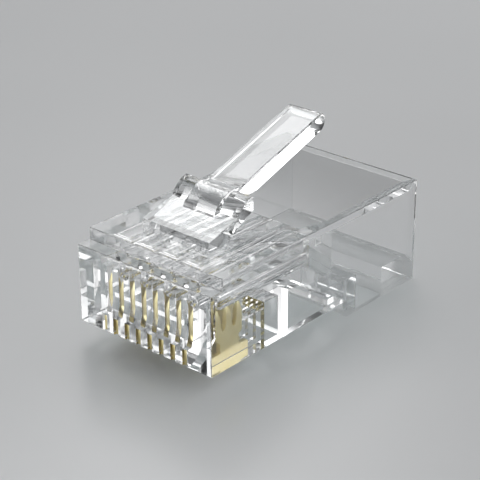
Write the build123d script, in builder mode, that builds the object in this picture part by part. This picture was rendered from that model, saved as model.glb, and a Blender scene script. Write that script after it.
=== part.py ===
from build123d import *
import os
from math import cos, radians, sin, tan

# An eight-contact modular plug for round cable, lying latch side up. Lengths are in millimetres.
# X runs across the plug, Y from the nose to the cable end, and Z up from the face that it rests on.
# The origin is under the middle of the housing, on that face. Lengths along the plug are measured
# back from the nose.

# Housing envelope
body_width = 11.68
body_length = 21.46
body_height = 7.70
nose_step_drop = 0.83
nose_step_length = 1.09
belly_height = 1.23
foot_start = 13.67
edge_round = 0.07

# Cable cavity behind the comb
side_wall = 0.85
roof_wall = 0.80
cavity_start = 10.20
funnel_end = 12.30
funnel_half_width = 4.45
ramp_top_height = 4.80
entry_bevel = 0.45

# Strain relief block, the window behind it and the bar across the cable end
block_start = 13.40
block_end = 15.07
block_height = 2.60
bar_start = 18.00
bar_height = 2.05
bar_bevel = 0.70
tongue_width = 5.70
tongue_gap = 0.20

# Pockets in the belly, on each side of the conductor rib
pocket_half_width = 4.50
pocket_start = 5.70
rib_start = 7.05
rib_end = 8.05
pocket_end = 12.25
pocket_roof = 4.10
pocket_rear_height = 1.90
pocket_arc_rise = 0.50

# Wire channels, in two staggered rows
contact_count = 8
contact_pitch = 1.02
channel_start = 1.45
upper_channel_width = 1.60
upper_channel_height = 1.12
upper_channel_corner = 0.42
upper_channel_nose = 0.55
channel_roof_gap = 0.10
lower_channel_bore = 1.00
channel_row_offset = 0.80

# Contacts, blades with three sharpened tines, and the slots that hold them
contact_thickness = 0.35
slot_clearance = 0.03
slot_mouth_height = 2.45
slot_mouth_length = 0.95
slot_throat_height = 3.18
slot_tail_height = 3.40
upper_contact_lift = 0.25
tip_clearance = 0.03
contact_rise = 0.03
contact_front = 0.15
contact_rear = 4.48
lug_post_height = 1.06
lug_post_length = 0.70
lug_height = 0.58
lug_root_length = 0.34
front_notch_depth = 0.40
front_notch_heights = (1.25, 1.59)
rear_lug_height = 0.52
rear_notch_depth = 0.30
rear_notch_foot = 0.20
rear_notch_heights = (0.61, 0.76, 1.32, 1.54)
tine_front = 1.44
tine_rear = 3.92
tine_count = 3
tine_width = 0.48
tine_depth = 1.56
tine_tip_width = 0.16
tine_point_height = 0.65
gap_floor_width = 0.18
gap_flare_height = 0.35
gap_flare = 0.04
edge_thickness = 0.12

# Latch
latch_width = 5.84
root_start = 3.13
root_length = 1.12
root_front_height = 0.80
hinge_gap = 0.10
strip_rise = 14.1
strip_underside_rise = 26.6
catch_front = 5.92
catch_rear = 7.43
catch_height = 2.60
catch_crown = 0.13
catch_shoulder_back = 0.87
catch_shoulder_drop = 0.18
rib_width = 1.64
rib_reach = 0.36
rib_belly_back = 0.32
rib_belly_drop = 0.30
rib_root = 0.10
rib_overlap = 0.60
lever_angle = 18.3
lever_sink = 0.16
lever_overlap = 0.40
lever_width = 2.71
lever_length = 9.51
lever_thickness = 1.24
lever_heel = 1.30
lever_top_round = 0.40
lever_tip_round = 0.55
latch_round = 0.07

# Places that follow from the sizes above
half_width = body_width / 2
nose = -body_length / 2
tail = body_length / 2
cavity_half_width = half_width - side_wall
ceiling = body_height - roof_wall
overrun = 1.0
upper_row = ceiling - channel_roof_gap - upper_channel_height / 2
lower_row = upper_row - channel_row_offset
tip_height = lower_row - lower_channel_bore / 2 - tip_clearance
slot_width = contact_thickness + 2 * slot_clearance
contact_bottom = belly_height + contact_rise
contact_places = [(n - (contact_count - 1) / 2) * contact_pitch for n in range(contact_count)]
catch_top = body_height + catch_height
root_end = root_start + root_length
strip_start = root_end + hinge_gap

os.makedirs("parts", exist_ok=True)


def at(back, height):
    """A point of a side profile, so far back from the nose and so high."""
    return (nose + back, height)


def strip_top(back):
    """The height of the latch strip's top, so far back from the nose."""
    return body_height + root_front_height + (back - root_start) * tan(radians(strip_rise))


def strip_bottom(back):
    """The height of the latch strip's underside, which rises from the end of the root."""
    return body_height + (back - root_end) * tan(radians(strip_underside_rise))


def is_upper(number):
    """Contacts alternate between the rows, and the first one, on the left, is in the upper row."""
    return number % 2 == 0


def lift(number):
    """How much higher a contact's tines and its slot's throat stand for the upper row."""
    return upper_contact_lift if is_upper(number) else 0


def channel_bottom(number):
    """The height of the underside of one contact's wire channel."""
    if is_upper(number):
        return upper_row - upper_channel_height / 2
    return lower_row - lower_channel_bore / 2


# Space for the cable: the side profile is cut to the funnel's plan
with BuildPart() as cavity:
    with BuildSketch(Plane.YZ):
        with BuildLine():
            Polyline(
                at(cavity_start, ceiling),
                at(cavity_start, ramp_top_height),
                at(block_start, block_height),
                at(block_end, block_height),
                at(block_end, -overrun),
                at(bar_start, -overrun),
                at(bar_start, bar_height),
                at(body_length - bar_bevel, bar_height),
                at(body_length + overrun, bar_height - bar_bevel - overrun),
                at(body_length + overrun, ceiling + entry_bevel + overrun),
                at(body_length - entry_bevel, ceiling),
                close=True,
            )
        make_face()
    extrude(amount=half_width, both=True)
    with BuildSketch(Plane.XY.offset(-overrun)):
        with BuildLine():
            Polyline(
                (0, nose + cavity_start),
                (funnel_half_width, nose + cavity_start),
                (cavity_half_width, nose + funnel_end),
                (cavity_half_width, tail - entry_bevel),
                (cavity_half_width + entry_bevel + overrun, tail + overrun),
                (0, tail + overrun),
                close=True,
            )
        make_face()
        mirror(about=Plane.YZ)
    extrude(amount=body_height + 3 * overrun, mode=Mode.INTERSECT)

# Belly pocket behind the conductor rib, with the arched underside of the strain relief
with BuildPart() as arch_pocket:
    with BuildSketch(Plane.YZ):
        with BuildLine():
            mid_back = (rib_end + pocket_end) / 2
            mid_height = (pocket_roof + pocket_rear_height) / 2
            arch_middle = at(mid_back + pocket_arc_rise / 2, mid_height + pocket_arc_rise)
            ThreePointArc(at(rib_end, pocket_roof), arch_middle, at(pocket_end, pocket_rear_height))
            Polyline(
                at(pocket_end, pocket_rear_height),
                at(pocket_end, belly_height - overrun),
                at(rib_end, belly_height - overrun),
                at(rib_end, pocket_roof),
            )
        make_face()
    extrude(amount=pocket_half_width, both=True)

# One wire channel of the upper row, round-nosed, with a round roof edge and a square floor
with BuildPart() as upper_channel:
    with BuildSketch(Plane.XZ.offset(-(nose + channel_start))):
        with Locations((0, upper_row)):
            RectangleRounded(upper_channel_width, upper_channel_height, upper_channel_corner)
        with Locations((0, upper_row - upper_channel_height / 4)):
            Rectangle(upper_channel_width, upper_channel_height / 2)
    extrude(amount=-(cavity_start - channel_start + overrun))
    with BuildSketch(Plane.YZ):
        with BuildLine():
            channel_top = upper_row + upper_channel_height / 2
            round_start = at(channel_start, channel_top - upper_channel_nose)
            round_end = at(channel_start + upper_channel_nose, channel_top)
            RadiusArc(round_end, round_start, upper_channel_nose)
            Polyline(
                round_start,
                at(channel_start, channel_top - 2 * upper_channel_height),
                at(cavity_start + overrun, channel_top - 2 * upper_channel_height),
                at(cavity_start + overrun, channel_top),
                round_end,
            )
        make_face()
    extrude(amount=upper_channel_width, both=True, mode=Mode.INTERSECT)

# Housing, one clear moulding
with BuildPart() as housing:
    with BuildSketch(Plane.YZ):
        with BuildLine():
            Polyline(
                at(0, belly_height),
                at(foot_start, belly_height),
                at(foot_start, 0),
                at(body_length, 0),
                at(body_length, body_height),
                at(nose_step_length, body_height),
                at(nose_step_length, body_height - nose_step_drop),
                at(0, body_height - nose_step_drop),
                close=True,
            )
        make_face()
    extrude(amount=half_width, both=True)
    fillet(housing.edges(), radius=edge_round)
    # Root of the latch
    with BuildSketch(Plane.YZ):
        with BuildLine():
            Polyline(
                at(root_start, body_height - edge_round),
                at(root_start, strip_top(root_start)),
                at(root_end, strip_top(root_end)),
                at(root_end, body_height - edge_round),
                close=True,
            )
        make_face()
    extrude(amount=latch_width / 2, both=True)
    add(cavity.part, mode=Mode.SUBTRACT)
    add(arch_pocket.part, mode=Mode.SUBTRACT)
    # Belly pocket in front of the conductor rib
    with BuildSketch(Plane.XY.offset(belly_height - overrun)):
        with Locations((0, nose + (pocket_start + rib_start) / 2)):
            Rectangle(2 * pocket_half_width, rib_start - pocket_start)
    extrude(amount=pocket_roof - belly_height + overrun, mode=Mode.SUBTRACT)
    # Gaps that free the strain relief tongue
    with BuildSketch(Plane.XY.offset(-overrun)):
        gap_length = block_end - cavity_start + overrun
        for side in (-1, 1):
            with Locations((side * (tongue_width + tongue_gap) / 2, nose + cavity_start + gap_length / 2)):
                Rectangle(tongue_gap, gap_length)
    extrude(amount=ramp_top_height + overrun, mode=Mode.SUBTRACT)
    # Wire channels
    for number, place in enumerate(contact_places):
        if is_upper(number):
            with Locations((place, 0, 0)):
                add(upper_channel.part, mode=Mode.SUBTRACT)
        else:
            bore_length = cavity_start - channel_start - lower_channel_bore / 2 + overrun
            bore_centre = nose + channel_start + lower_channel_bore / 2
            with Locations((place, bore_centre, lower_row)):
                Sphere(lower_channel_bore / 2, mode=Mode.SUBTRACT)
            with Locations((place, bore_centre + bore_length / 2, lower_row)):
                Cylinder(lower_channel_bore / 2, bore_length, rotation=(90, 0, 0), mode=Mode.SUBTRACT)
    # Contact slots
    for number, place in enumerate(contact_places):
        slot_top = channel_bottom(number) + lower_channel_bore / 2
        throat_height = slot_throat_height + lift(number)
        with BuildSketch(Plane.YZ.offset(place)):
            with BuildLine():
                Polyline(
                    at(-overrun, belly_height - overrun),
                    at(-overrun, slot_mouth_height),
                    at(slot_mouth_length, slot_mouth_height),
                    at(tine_front - slot_clearance, throat_height),
                    at(tine_front - slot_clearance, slot_top),
                    at(tine_rear + slot_clearance, slot_top),
                    at(tine_rear + slot_clearance, slot_tail_height),
                    at((pocket_start + rib_start) / 2, slot_tail_height),
                    at((pocket_start + rib_start) / 2, belly_height - overrun),
                    close=True,
                )
            make_face()
        extrude(amount=slot_width / 2, both=True, mode=Mode.SUBTRACT)
housing.part.label = "housing"
export_step(housing.part, "parts/housing.step")


def tine_outline(tip):
    """The comb edge of a contact from its rear tine to its front tine, as profile points."""
    pitch = (tine_rear - tine_front - tine_width) / (tine_count - 1)
    gap_width = pitch - tine_width
    gap_floor = tip - tine_depth
    shoulder = tip - tine_point_height
    points = []
    for tine in reversed(range(tine_count)):
        centre = tine_front + tine_width / 2 + tine * pitch
        points.append(at(centre + tine_width / 2, shoulder))
        points.append(at(centre + tine_tip_width / 2, tip))
        points.append(at(centre - tine_tip_width / 2, tip))
        points.append(at(centre - tine_width / 2, shoulder))
        if tine > 0:
            middle = centre - pitch / 2
            flare = gap_width / 2 - gap_flare
            points.append(at(middle + flare, gap_floor + gap_flare_height))
            points.append(at(middle + gap_floor_width / 2, gap_floor))
            points.append(at(middle - gap_floor_width / 2, gap_floor))
            points.append(at(middle - flare, gap_floor + gap_flare_height))
    return points


# Contacts, the upper row's standing higher in their slots than the lower row's
for number, place in enumerate(contact_places):
    tip = tip_height + lift(number)
    with BuildPart() as contact:
        with BuildSketch(Plane.YZ.offset(place)):
            with BuildLine():
                Polyline(
                    at(contact_front, contact_bottom),
                    at(contact_rear, contact_bottom),
                    at(contact_rear, contact_bottom + rear_lug_height),
                    at(tine_rear - rear_notch_depth + rear_notch_foot, contact_bottom + rear_notch_heights[0]),
                    at(tine_rear - rear_notch_depth, contact_bottom + rear_notch_heights[1]),
                    at(tine_rear - rear_notch_depth, contact_bottom + rear_notch_heights[2]),
                    at(tine_rear, contact_bottom + rear_notch_heights[3]),
                    *tine_outline(tip),
                    at(tine_front, contact_bottom + front_notch_heights[1]),
                    at(tine_front + front_notch_depth, contact_bottom + front_notch_heights[0]),
                    at(tine_front + front_notch_depth, contact_bottom + lug_height),
                    at(tine_front - lug_root_length, contact_bottom + lug_height),
                    at(contact_front + lug_post_length, contact_bottom + lug_post_height),
                    at(contact_front, contact_bottom + lug_post_height),
                    close=True,
                )
            make_face()
        extrude(amount=contact_thickness / 2, both=True)
        with BuildSketch(Plane.XZ.offset(-nose + overrun)):
            with BuildLine():
                Polyline(
                    (place - contact_thickness / 2, contact_bottom),
                    (place + contact_thickness / 2, contact_bottom),
                    (place + contact_thickness / 2, tip - tine_point_height),
                    (place + edge_thickness / 2, tip),
                    (place - edge_thickness / 2, tip),
                    (place - contact_thickness / 2, tip - tine_point_height),
                    close=True,
                )
            make_face()
        extrude(amount=-(contact_rear + 2 * overrun), mode=Mode.INTERSECT)
    contact.part.label = f"contact_{number + 1}"
    export_step(contact.part, f"parts/contact_{number + 1}.step")

# Latch, the part of the moulding that flexes about its root: first its lever, which starts inside the catch
lever_slope = Vector(1, 0).rotate(Axis.Z, lever_angle)
lever_down = Vector(0, -1).rotate(Axis.Z, lever_angle)
crown_back = Vector(*at(catch_rear - catch_crown, catch_top))
lever_root = crown_back + lever_down * lever_sink
lever_start = lever_root - lever_slope * lever_overlap
tip_top = lever_root + lever_slope * lever_length
heel = lever_root + lever_slope * lever_heel + lever_down * lever_thickness
with BuildPart() as lever:
    with BuildSketch(Plane.YZ):
        with BuildLine():
            FilletPolyline(
                lever_start,
                tip_top,
                tip_top + lever_down * lever_thickness,
                heel,
                (lever_start.X, heel.Y),
                radius=(0, lever_top_round, lever_tip_round, lever_thickness, 0),
                close=True,
            )
        make_face()
    extrude(amount=lever_width / 2, both=True)
    fillet(lever.edges().filter_by(GeomType.LINE).filter_by(Axis.X, reverse=True), radius=latch_round)

# The strip's front end is a round about the pivot, tangent to its top and to its underside
top_angle = radians(strip_rise)
bottom_angle = radians(strip_underside_rise)
end_height = strip_top(strip_start) - strip_bottom(strip_start)
top_share = (1 - sin(top_angle)) / cos(top_angle)
bottom_share = (1 + sin(bottom_angle)) / cos(bottom_angle)
end_round = end_height / (top_share + bottom_share)
pivot_back = strip_start + end_round
pivot = Vector(*at(pivot_back, strip_bottom(pivot_back) + end_round / cos(bottom_angle)))
end_top = pivot + Vector(0, end_round).rotate(Axis.Z, strip_rise)
end_bottom = pivot - Vector(0, end_round).rotate(Axis.Z, strip_underside_rise)

# Strip and catch across the full width, the middle rib, and the lever
with BuildPart() as latch_tab:
    with BuildSketch(Plane.YZ):
        with BuildLine():
            catch_foot = at(catch_front, strip_top(catch_front))
            catch_shoulder = at(catch_front + catch_shoulder_back, catch_top - catch_shoulder_drop)
            Polyline(
                end_bottom,
                at(catch_rear, strip_bottom(catch_rear)),
                at(catch_rear, catch_top - catch_crown),
                crown_back,
            )
            ThreePointArc(crown_back, catch_shoulder, catch_foot)
            Line(catch_foot, end_top)
            ThreePointArc(end_top, pivot - Vector(end_round, 0), end_bottom)
        make_face()
    extrude(amount=latch_width / 2, both=True)
    end_faces = latch_tab.faces().filter_by(Axis.X)
    chamfer(end_faces.edges(), length=latch_round)
    with BuildSketch(Plane.YZ):
        with BuildLine():
            rib_top = lever_root + lever_slope * rib_overlap + lever_down * rib_root
            rib_crown = at(catch_front + rib_belly_back, catch_top - rib_belly_drop)
            rib_front = catch_front - rib_reach
            rib_inside = catch_rear - rib_overlap
            ThreePointArc(rib_top, rib_crown, at(rib_front, strip_top(rib_front)))
            Polyline(
                at(rib_front, strip_top(rib_front)),
                at(rib_front, strip_top(rib_front) - rib_root),
                at(rib_inside, strip_top(rib_inside) - rib_root),
                rib_top,
            )
        make_face()
    extrude(amount=rib_width / 2, both=True)
    add(lever.part)
latch_tab.part.label = "latch_tab"
export_step(latch_tab.part, "parts/latch_tab.step")
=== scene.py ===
"""A clear eight-contact modular plug, lying latch side up on a pale studio floor."""

from math import atan2, cos, hypot, pi, radians, sin

import bmesh
import bpy
from mathutils import Matrix, Vector


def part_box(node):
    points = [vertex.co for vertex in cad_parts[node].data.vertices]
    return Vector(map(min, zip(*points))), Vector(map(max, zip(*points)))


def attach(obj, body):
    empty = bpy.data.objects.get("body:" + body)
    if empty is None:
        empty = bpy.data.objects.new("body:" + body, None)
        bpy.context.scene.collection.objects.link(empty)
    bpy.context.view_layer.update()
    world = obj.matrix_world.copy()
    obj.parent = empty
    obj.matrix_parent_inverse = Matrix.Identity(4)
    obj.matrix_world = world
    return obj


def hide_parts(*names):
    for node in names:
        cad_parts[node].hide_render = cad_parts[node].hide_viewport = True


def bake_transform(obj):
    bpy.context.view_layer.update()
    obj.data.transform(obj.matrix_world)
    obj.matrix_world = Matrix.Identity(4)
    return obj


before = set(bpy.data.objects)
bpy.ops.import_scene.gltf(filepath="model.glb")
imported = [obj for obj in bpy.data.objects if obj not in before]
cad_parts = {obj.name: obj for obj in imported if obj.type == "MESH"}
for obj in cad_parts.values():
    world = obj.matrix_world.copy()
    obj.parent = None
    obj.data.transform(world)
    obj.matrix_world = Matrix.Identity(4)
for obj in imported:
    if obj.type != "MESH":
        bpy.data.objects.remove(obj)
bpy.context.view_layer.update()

MM = 0.001
SAME_PLACE = 1e-7  # metres: two points nearer than this are one
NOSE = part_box("housing")[0].y  # the plug's front face; lengths run back from here
CONTACT_COUNT = 8


def at(x, back, height):
    """A place in millimetres: across, back from the nose and up, as the drawing has it."""
    return Vector((x * MM, NOSE + back * MM, height * MM))


# ---------------------------------------------------------------- meshes


def new_object(name, data):
    """Puts a mesh, lamp or camera in the scene."""
    item = bpy.data.objects.new(name, data)
    bpy.context.scene.collection.objects.link(item)
    return item


def finish_mesh(name, bm):
    """Writes a bmesh out as a new object that sits at the origin."""
    mesh = bpy.data.meshes.new(name)
    bm.to_mesh(mesh)
    bm.free()
    return new_object(name, mesh)


def merged_shell(node, flat):
    """A CAD node's mesh as a closed shell: doubles merged, and flat faces joined again.

    Two faces are joined where they turn by less than flat degrees.
    """
    bm = bmesh.new()
    bm.from_mesh(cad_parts[node].data)
    bmesh.ops.remove_doubles(bm, verts=bm.verts, dist=SAME_PLACE)
    bmesh.ops.dissolve_limit(
        bm, angle_limit=radians(flat), verts=bm.verts, edges=bm.edges, delimit={"NORMAL"}
    )
    return bm


def ease_edges(bm, edges, width, steps):
    """Rounds some edges off, by a width in millimetres."""
    bmesh.ops.bevel(
        bm,
        geom=edges,
        offset=width * MM,
        offset_type="OFFSET",
        segments=steps,
        profile=0.5,
        affect="EDGES",
        clamp_overlap=True,
        material=-1,
    )


def round_corner(bm, corner, radius):
    """Rounds one corner of a flat outline, by a radius in millimetres."""
    bmesh.ops.bevel(
        bm,
        geom=[corner],
        offset=radius * MM,
        offset_type="OFFSET",
        segments=8,
        profile=0.5,
        affect="VERTICES",
        material=-1,
    )


def profile_bar(name, outline, half_width, edge, edge_steps, rounds=None):
    """A bar across the plug: a side outline drawn out to both sides, with its ends eased.

    rounds gives a radius for some of the outline's corners, by their number.
    """
    bm = bmesh.new()
    corners = [bm.verts.new(at(-half_width, back, height)) for back, height in outline]
    bm.faces.new(corners)
    for number, radius in (rounds or {}).items():
        round_corner(bm, corners[number], radius)
    drawn = bmesh.ops.extrude_face_region(bm, geom=bm.faces[:])
    moved = [v for v in drawn["geom"] if isinstance(v, bmesh.types.BMVert)]
    bmesh.ops.translate(bm, verts=moved, vec=(2 * half_width * MM, 0, 0))
    bmesh.ops.recalc_face_normals(bm, faces=bm.faces)
    rim = [e for e in bm.edges if abs(e.verts[0].co.x - e.verts[1].co.x) < SAME_PLACE]
    ease_edges(bm, rim, edge, edge_steps)
    return finish_mesh(name, bm)


def fuse(base, *others):
    """Joins closed shells into one, with no walls left inside."""
    for other in others:
        joint = base.modifiers.new("fuse", "BOOLEAN")
        joint.operation = "UNION"
        joint.solver = "EXACT"
        joint.object = other
        bpy.context.view_layer.update()
        joined = base.evaluated_get(bpy.context.evaluated_depsgraph_get())
        mesh = bpy.data.meshes.new_from_object(joined)
        base.modifiers.clear()
        base.data = mesh
        bpy.data.objects.remove(other)


def smooth(piece, wide_turn, narrow_turn, wide_face):
    """Smooth shading over the narrow faces of a curve: the wide faces keep their flat normals.

    An edge is shaded smooth up to narrow_turn degrees between narrow faces, and only up to
    wide_turn beside a face of wide_face square millimetres or more.
    """
    piece.data.shade_smooth()
    bm = bmesh.new()
    bm.from_mesh(piece.data)
    for edge in bm.edges:
        widest = max(face.calc_area() for face in edge.link_faces)
        turn = narrow_turn if widest < wide_face * MM * MM else wide_turn
        edge.smooth = edge.calc_face_angle(0) < radians(turn)
    bm.to_mesh(piece.data)
    bm.free()
    even = piece.modifiers.new("flat faces stay flat", "WEIGHTED_NORMAL")
    even.mode = "FACE_AREA"
    even.weight = 100
    even.keep_sharp = True


def dress(piece, material):
    piece.data.materials.clear()
    piece.data.materials.append(material)


# ---------------------------------------------------------------- materials


class Shader:
    """A material's nodes, added one at a time from left to right."""

    def __init__(self, tree):
        self.tree = tree
        self.column = 0

    def add(self, kind, label="", inputs=(), **settings):
        """Adds a node. An input is a value, or another node's output to link to."""
        node = self.tree.nodes.new(kind)
        node.label = label
        self.column += 1
        node.location = (self.column * 190, -(self.column % 4) * 120)
        for key, value in settings.items():
            setattr(node, key, value)
        for socket, value in dict(inputs).items():
            if isinstance(value, bpy.types.NodeSocket):
                self.tree.links.new(value, node.inputs[socket])
            else:
                node.inputs[socket].default_value = value
        return node


def cleared_nodes(holder):
    """A material's, lamp's or world's nodes, with nothing in them yet."""
    holder.use_nodes = True
    holder.node_tree.nodes.clear()
    return Shader(holder.node_tree)


def two_tones(ramp, low, high, start=0.0, end=1.0):
    """Sets a colour ramp's two ends."""
    first, last = ramp.color_ramp.elements[:]
    first.color, first.position = (*low, 1.0), start
    last.color, last.position = (*high, 1.0), end


def new_group(name, ins, outs):
    """A node group with named sockets: its nodes, and the node that brings its inputs in."""
    group = bpy.data.node_groups.new(name, "ShaderNodeTree")
    for label, kind, value in ins:
        socket = group.interface.new_socket(label, in_out="INPUT", socket_type=kind)
        if value is not None:
            socket.default_value = value
    for label, kind in outs:
        group.interface.new_socket(label, in_out="OUTPUT", socket_type=kind)
    s = Shader(group)
    return s, s.add("NodeGroupInput")


def surface_marks_group():
    """Fine handling marks and slow waves in a surface.

    Marks is for roughness, and Height for a bump.
    """
    s, ins = new_group(
        "surface marks",
        [
            ("Position", "NodeSocketVector", None),
            ("Wave Scale", "NodeSocketFloat", 180.0),
            ("Scratch Scale", "NodeSocketFloat", 900.0),
            ("Scratch Amount", "NodeSocketFloat", 0.3),
        ],
        [("Marks", "NodeSocketFloat"), ("Height", "NodeSocketFloat")],
    )
    waves = s.add(
        "ShaderNodeTexNoise",
        "slow waves",
        inputs={
            "Vector": ins.outputs["Position"],
            "Scale": ins.outputs["Wave Scale"],
            "Detail": 2.0,
        },
    )
    turned = s.add(
        "ShaderNodeMapping",
        "scratch direction",
        inputs={
            "Vector": ins.outputs["Position"],
            "Rotation": (0.3, 0.2, 0.7),
            "Scale": (1.0, 0.06, 1.0),
        },
    )
    scratch = s.add(
        "ShaderNodeTexNoise",
        "scratches",
        inputs={
            "Vector": turned.outputs["Vector"],
            "Scale": ins.outputs["Scratch Scale"],
            "Detail": 4.0,
        },
    )
    thin = s.add(
        "ShaderNodeMapRange",
        "thin scratches",
        inputs={
            "Value": scratch.outputs["Fac"],
            "From Min": 0.58,
            "From Max": 0.72,
            "To Min": 0.0,
            "To Max": 1.0,
        },
    )
    marks = s.add(
        "ShaderNodeMath",
        "scratch amount",
        operation="MULTIPLY",
        inputs={0: thin.outputs["Result"], 1: ins.outputs["Scratch Amount"]},
    )
    height = s.add(
        "ShaderNodeMath",
        "height",
        operation="SUBTRACT",
        inputs={0: waves.outputs["Fac"], 1: marks.outputs["Value"]},
    )
    s.add(
        "NodeGroupOutput",
        inputs={"Marks": marks.outputs["Value"], "Height": height.outputs["Value"]},
    )
    return s.tree


marks_group = surface_marks_group()


def place_marks(s, wave_scale, scratch_scale, scratch_amount):
    """Places the marks in a material: the node for its place on the plug, and the marks."""
    where = s.add("ShaderNodeTexCoord", "place on the plug")
    marks = s.add(
        "ShaderNodeGroup",
        "surface marks",
        node_tree=marks_group,
        inputs={
            "Position": where.outputs["Object"],
            "Wave Scale": wave_scale,
            "Scratch Scale": scratch_scale,
            "Scratch Amount": scratch_amount,
        },
    )
    return where, marks


def roughness_from(s, marks, label, scratch_amount, clean, scratched):
    """Roughness from clean to scratched, as the marks go from none to scratch_amount."""
    return s.add(
        "ShaderNodeMapRange",
        label,
        inputs={
            "Value": marks.outputs["Marks"],
            "From Min": 0.0,
            "From Max": scratch_amount,
            "To Min": clean,
            "To Max": scratched,
        },
    )


def clear_plastic():
    """Clear moulded polycarbonate, with slow waves from the mould and a few fine marks."""
    material = bpy.data.materials.new("clear polycarbonate")
    s = cleared_nodes(material)
    scratch_amount = 0.25
    _, marks = place_marks(s, 160.0, 1400.0, scratch_amount)
    rough = roughness_from(s, marks, "polish", scratch_amount, 0.012, 0.10)
    bump = s.add(
        "ShaderNodeBump",
        "mould waves",
        inputs={"Strength": 0.01, "Distance": 0.0002, "Height": marks.outputs["Height"]},
    )
    clear = s.add(
        "ShaderNodeBsdfPrincipled",
        "plastic",
        inputs={
            "Base Color": (0.94, 0.945, 0.948, 1.0),
            "Roughness": rough.outputs["Result"],
            "IOR": 1.586,
            "Transmission Weight": 1.0,
            "Metallic": 0.0,
            "Normal": bump.outputs["Normal"],
        },
    )
    # A pale shadow, as clear plastic throws, in place of a solid one
    lamp_pass = s.add(
        "ShaderNodeBsdfTransparent",
        "lamplight through",
        inputs={"Color": (0.80, 0.83, 0.83, 1.0)},
    )
    rays = s.add("ShaderNodeLightPath", "rays")
    mix = s.add(
        "ShaderNodeMixShader",
        "let lamps through",
        inputs={
            0: rays.outputs["Is Shadow Ray"],
            1: clear.outputs["BSDF"],
            2: lamp_pass.outputs["BSDF"],
        },
    )
    s.add("ShaderNodeOutputMaterial", "out", inputs={"Surface": mix.outputs["Shader"]})
    return material


def gold_plate():
    """Thin gold over stamped bronze: warm, a little uneven, with a fine grain from the stamping."""
    material = bpy.data.materials.new("gold plated contact")
    s = cleared_nodes(material)
    scratch_amount = 0.6
    where, marks = place_marks(s, 500.0, 2600.0, scratch_amount)
    blotch = s.add(
        "ShaderNodeTexNoise",
        "plating tone",
        inputs={"Vector": where.outputs["Object"], "Scale": 700.0, "Detail": 3.0},
    )
    tone = s.add("ShaderNodeValToRGB", "gold tones", inputs={"Fac": blotch.outputs["Fac"]})
    two_tones(tone, (0.84, 0.71, 0.34), (0.95, 0.86, 0.52), start=0.3, end=0.7)
    rough = roughness_from(s, marks, "grain", scratch_amount, 0.36, 0.52)
    bump = s.add(
        "ShaderNodeBump",
        "stamping grain",
        inputs={"Strength": 0.15, "Distance": 0.00005, "Height": marks.outputs["Height"]},
    )
    plate = s.add(
        "ShaderNodeBsdfPrincipled",
        "gold",
        inputs={
            "Base Color": tone.outputs["Color"],
            "Roughness": rough.outputs["Result"],
            "Metallic": 1.0,
            "Normal": bump.outputs["Normal"],
        },
    )
    s.add("ShaderNodeOutputMaterial", "out", inputs={"Surface": plate.outputs["BSDF"]})
    return material


plastic = clear_plastic()
gold = gold_plate()


# ---------------------------------------------------------------- moulding


def arc(start, middle, end, steps):
    """Points on the circle through three places, from the first to the last."""
    (ax, ay), (bx, by), (cx, cy) = start, middle, end
    turn = 2 * (ax * (by - cy) + bx * (cy - ay) + cx * (ay - by))
    a2, b2, c2 = ax * ax + ay * ay, bx * bx + by * by, cx * cx + cy * cy
    ux = (a2 * (by - cy) + b2 * (cy - ay) + c2 * (ay - by)) / turn
    uy = (a2 * (cx - bx) + b2 * (ax - cx) + c2 * (bx - ax)) / turn
    first = atan2(ay - uy, ax - ux)
    last = atan2(cy - uy, cx - ux)
    sweep = (last - first + pi) % (2 * pi) - pi
    radius = hypot(ax - ux, ay - uy)
    angles = [first + sweep * n / steps for n in range(steps + 1)]
    return [(ux + radius * cos(angle), uy + radius * sin(angle)) for angle in angles]


def latch_bars():
    """The latch's strip with its catch, the middle rib and the lever.

    Each side outline's points are back from the nose and up, in millimetres.
    """
    catch_side = [
        (3.95, 7.60),
        (4.05, 7.60),
        (7.43, 9.293),
        (7.43, 10.17),
        *arc((7.30, 10.30), (6.79, 10.12), (5.92, 9.203), steps=14),
        (3.95, 8.709),
    ]
    rib_side = [
        *arc((7.95, 10.243), (6.10, 10.00), (5.28, 9.06), steps=16),
        (5.28, 8.96),
        (6.83, 9.33),
    ]
    lever_side = [
        (6.970, 10.022),
        (16.379, 13.134),
        (16.768, 11.957),
        (8.974, 9.379),
        (6.970, 9.379),
    ]
    return (
        profile_bar("catch", catch_side, half_width=2.917, edge=0.05, edge_steps=2),
        profile_bar("rib", rib_side, half_width=1.355, edge=0.05, edge_steps=2),
        profile_bar(
            "lever",
            lever_side,
            half_width=1.48,
            edge=0.16,
            edge_steps=4,
            rounds={1: 0.40, 2: 0.80, 3: 0.60},
        ),
    )


moulding = finish_mesh("moulding", merged_shell("housing", flat=0.5))
fuse(moulding, *latch_bars())
smooth(moulding, wide_turn=14, narrow_turn=32, wide_face=2.8)
dress(moulding, plastic)
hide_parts("housing", "latch_tab")
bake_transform(moulding)


# ---------------------------------------------------------------- contacts


def make_blade(node):
    """A contact with its stamped edges eased, so that they catch the light."""
    bm = merged_shell(node, flat=1)
    stamped = [e for e in bm.edges if e.calc_face_angle(0) > radians(40)]
    ease_edges(bm, stamped, width=0.018, steps=2)
    blade = finish_mesh(node.replace("contact", "blade"), bm)
    smooth(blade, wide_turn=30, narrow_turn=30, wide_face=1.0)
    dress(blade, gold)
    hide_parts(node)
    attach(blade, "body")


for number in range(1, CONTACT_COUNT + 1):
    make_blade(f"contact_{number}")


# ---------------------------------------------------------------- studio

PLUG_MIDDLE = Vector((0, 0, 0.005))

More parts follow.
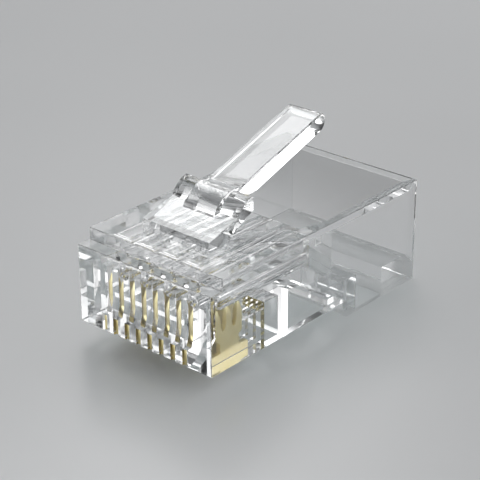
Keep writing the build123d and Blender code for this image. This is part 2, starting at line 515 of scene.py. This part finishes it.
# Each lamp's name, place, width, height and power, in metres and watts
LAMPS = (
    ("key lamp", (-0.10, 0.09, 0.17), 0.18, 0.26, 0.45),
    ("fill lamp", (0.15, 0.08, 0.07), 0.18, 0.18, 0.18),
    ("front lamp", (-0.12, -0.18, 0.055), 0.18, 0.18, 0.36),
    ("back lamp", (0.03, 0.20, 0.10), 0.22, 0.11, 0.26),
)

# The room's own light: how far up its walls, from 0 to 1, and how grey it is there
ROOM_FOOT = (0.36, 0.365, 0.37)
ROOM_TOP = (0.50, 0.51, 0.52)
ROOM_TOP_STARTS = 0.95
ROOM_WALLS = ((0.06, 0.30), (0.11, 0.025), (0.48, 0.05))


def studio_floor():
    bm = bmesh.new()
    bmesh.ops.create_grid(bm, x_segments=1, y_segments=1, size=1.5)
    floor = finish_mesh("floor", bm)
    material = bpy.data.materials.new("pale floor")
    s = cleared_nodes(material)
    where = s.add("ShaderNodeTexCoord", "place")
    soft = s.add(
        "ShaderNodeTexNoise", "paper", inputs={"Vector": where.outputs["Object"], "Scale": 30.0}
    )
    tone = s.add("ShaderNodeValToRGB", "pale greys", inputs={"Fac": soft.outputs["Fac"]})
    two_tones(tone, (0.58, 0.585, 0.59), (0.62, 0.625, 0.63))
    face = s.add(
        "ShaderNodeBsdfPrincipled",
        "floor",
        inputs={"Base Color": tone.outputs["Color"], "Roughness": 0.30},
    )
    s.add("ShaderNodeOutputMaterial", "out", inputs={"Surface": face.outputs["BSDF"]})
    dress(floor, material)


def soft_lamp(name, place, wide, tall, power):
    """A lamp that fades out towards its rim, so that the plastic mirrors no hard edge."""
    data = bpy.data.lights.new(name, "AREA")
    data.energy = power
    data.shape = "RECTANGLE"
    data.size = wide
    data.size_y = tall
    s = cleared_nodes(data)
    where = s.add("ShaderNodeNewGeometry", "place on the lamp")
    apart = s.add(
        "ShaderNodeVectorMath",
        "from the middle",
        operation="DISTANCE",
        inputs={0: where.outputs["Parametric"], 1: (0.5, 0.5, 0.0)},
    )
    fade = s.add(
        "ShaderNodeMapRange",
        "soft rim",
        interpolation_type="SMOOTHSTEP",
        inputs={"Value": apart.outputs["Value"], "From Min": 0.5, "From Max": 0.2},
    )
    glow = s.add("ShaderNodeEmission", "glow", inputs={"Strength": fade.outputs["Result"]})
    s.add("ShaderNodeOutputLight", "out", inputs={"Surface": glow.outputs["Emission"]})
    lamp = new_object(name, data)
    lamp.location = place
    lamp.rotation_euler = (PLUG_MIDDLE - lamp.location).to_track_quat("-Z", "Y").to_euler()


def room():
    """The room round the floor: pale low down and overhead, and dark between, for clear edges."""
    world = bpy.data.worlds.new("studio")
    s = cleared_nodes(world)
    where = s.add("ShaderNodeTexCoord", "direction")
    split = s.add(
        "ShaderNodeSeparateXYZ", "height", inputs={"Vector": where.outputs["Generated"]}
    )
    tone = s.add("ShaderNodeValToRGB", "room", inputs={"Fac": split.outputs["Z"]})
    two_tones(tone, ROOM_FOOT, ROOM_TOP, end=ROOM_TOP_STARTS)
    for height, grey in ROOM_WALLS:
        tone.color_ramp.elements.new(height).color = (grey, grey * 1.02, grey * 1.04, 1.0)
    light = s.add(
        "ShaderNodeBackground",
        "room light",
        inputs={"Color": tone.outputs["Color"], "Strength": 1.0},
    )
    s.add("ShaderNodeOutputWorld", "out", inputs={"Surface": light.outputs["Background"]})
    bpy.context.scene.world = world


studio_floor()
for lamp_settings in LAMPS:
    soft_lamp(*lamp_settings)
room()


# ---------------------------------------------------------------- camera

CAMERA_PLACE = (0.06222, -0.07177, 0.05009)
CAMERA_TURN = 41.47  # degrees round from straight in front
CAMERA_TILT = 64.65  # degrees up from looking straight down
CAMERA_ROLL = -0.35

camera_data = bpy.data.cameras.new("camera")
camera_data.lens = 116.04
camera_data.sensor_width = 36.0
camera_data.clip_start = 0.001
camera = new_object("camera", camera_data)
camera.matrix_world = (
    Matrix.Translation(CAMERA_PLACE)
    @ Matrix.Rotation(radians(CAMERA_TURN), 4, "Z")
    @ Matrix.Rotation(radians(CAMERA_TILT), 4, "X")
    @ Matrix.Rotation(radians(CAMERA_ROLL), 4, "Z")
)

scene = bpy.context.scene
scene.camera = camera
scene.view_settings.view_transform = "Standard"

# Light turns back and forth many times inside clear plastic before it comes out
scene.cycles.max_bounces = 24
scene.cycles.glossy_bounces = 16
scene.cycles.transmission_bounces = 24
scene.cycles.transparent_max_bounces = 24
